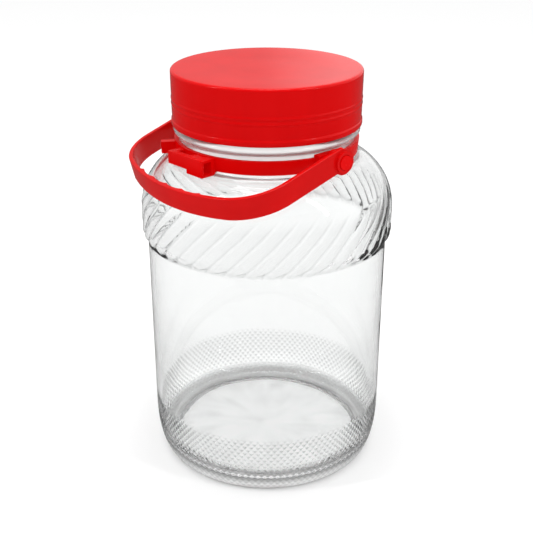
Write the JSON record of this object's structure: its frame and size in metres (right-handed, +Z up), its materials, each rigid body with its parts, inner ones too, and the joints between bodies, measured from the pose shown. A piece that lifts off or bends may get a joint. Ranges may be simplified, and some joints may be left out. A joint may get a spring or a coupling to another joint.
{
  "type": "glass jar with handle",
  "caption": "Wide round glass storage jar with a fluted shoulder band, a ribbed screw lid, a plastic neck band with a clasp and a swinging bail handle.",
  "frame": {"origin": "centre of the underside, on the plane the jar stands on", "axes": "+Z up along the jar's axis, +X along the handle's pivot axis, -Y to the side where the lowered handle rests"},
  "size_m": [0.1782, 0.1798, 0.2884],
  "materials": {
    "clear_glass": "clear",
    "red_lid": "glossy",
    "red_band": "glossy",
    "red_handle": "glossy"
  },
  "bodies": {
    "jar": {"jar": "clear_glass", "lid": "red_lid", "neck_band": "red_band"},
    "handle": {"handle": "red_handle"}
  },
  "joints": [
    {"name": "handle_pivot", "type": "hinge", "parent": "jar", "child": "handle", "pos_m": [0, 0, 0.24], "axis": [-1, 0, 0], "range_deg": [0, 205]}
  ]
}
